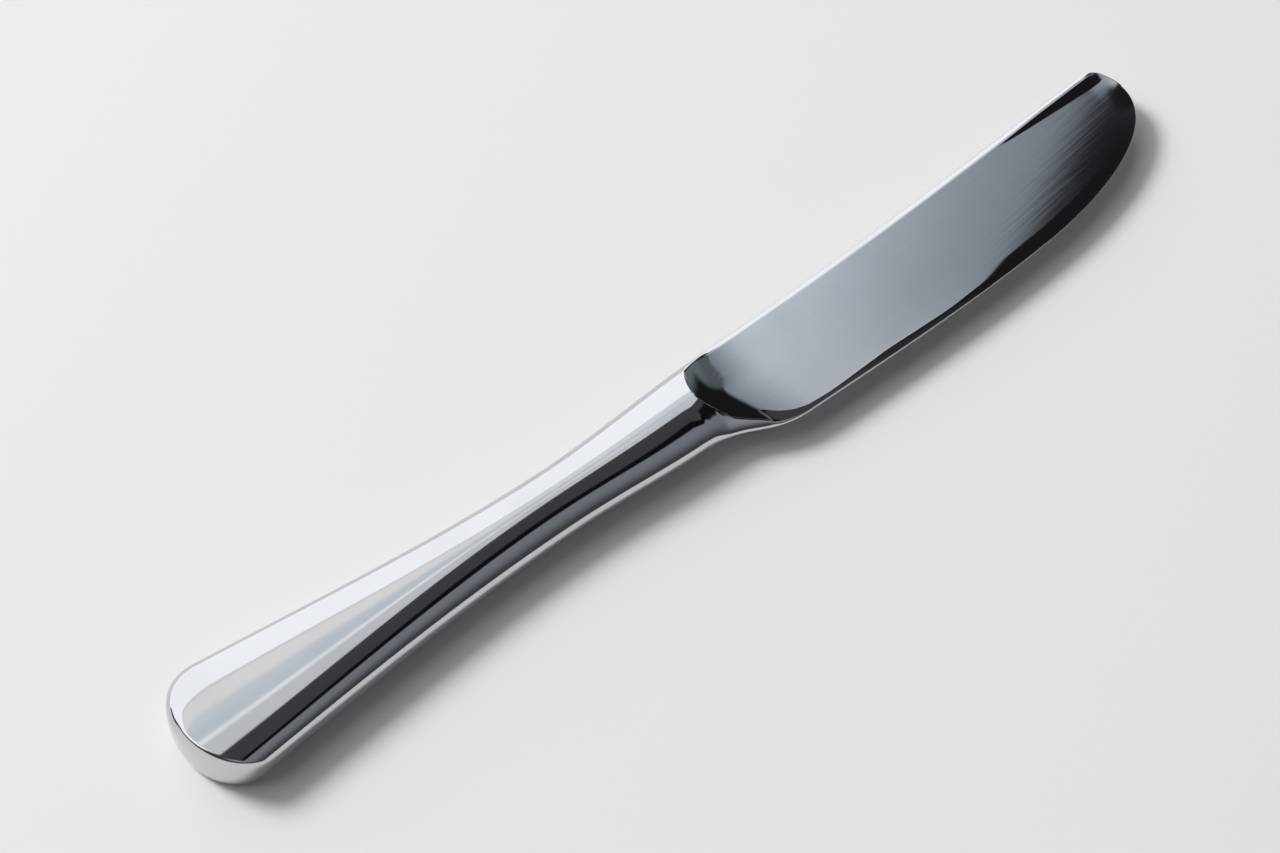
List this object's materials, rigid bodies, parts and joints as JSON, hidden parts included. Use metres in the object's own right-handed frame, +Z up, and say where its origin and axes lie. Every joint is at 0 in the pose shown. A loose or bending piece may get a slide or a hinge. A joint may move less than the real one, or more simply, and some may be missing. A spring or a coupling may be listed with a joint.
{
  "type": "butter knife",
  "caption": "Polished steel butter knife with a blunt round-tipped spreading blade, a forged bolster and a smooth hollow handle that swells to a rounded pommel.",
  "frame": {"origin": "on the surface the knife lies on, under the middle of its bounding box", "axes": "+X from the pommel towards the blade's tip, +Y from the cutting edge towards the spine, +Z up, square to the blade's mid plane"},
  "size_m": [0.175, 0.0218, 0.0074],
  "materials": {
    "blade_steel": "polished stainless steel with faint lengthwise polishing lines",
    "handle_steel": "mirror polished stainless steel",
    "braze_alloy": "dull brazing alloy, hidden inside the handle",
    "cement": "set cement, hidden inside the handle"
  },
  "bodies": {
    "root": {"blade": "blade_steel", "handle_shell_upper": "handle_steel", "handle_shell_lower": "handle_steel", "seam_braze": "braze_alloy", "bolster_braze": "braze_alloy", "cement_core": "cement"}
  },
  "joints": []
}
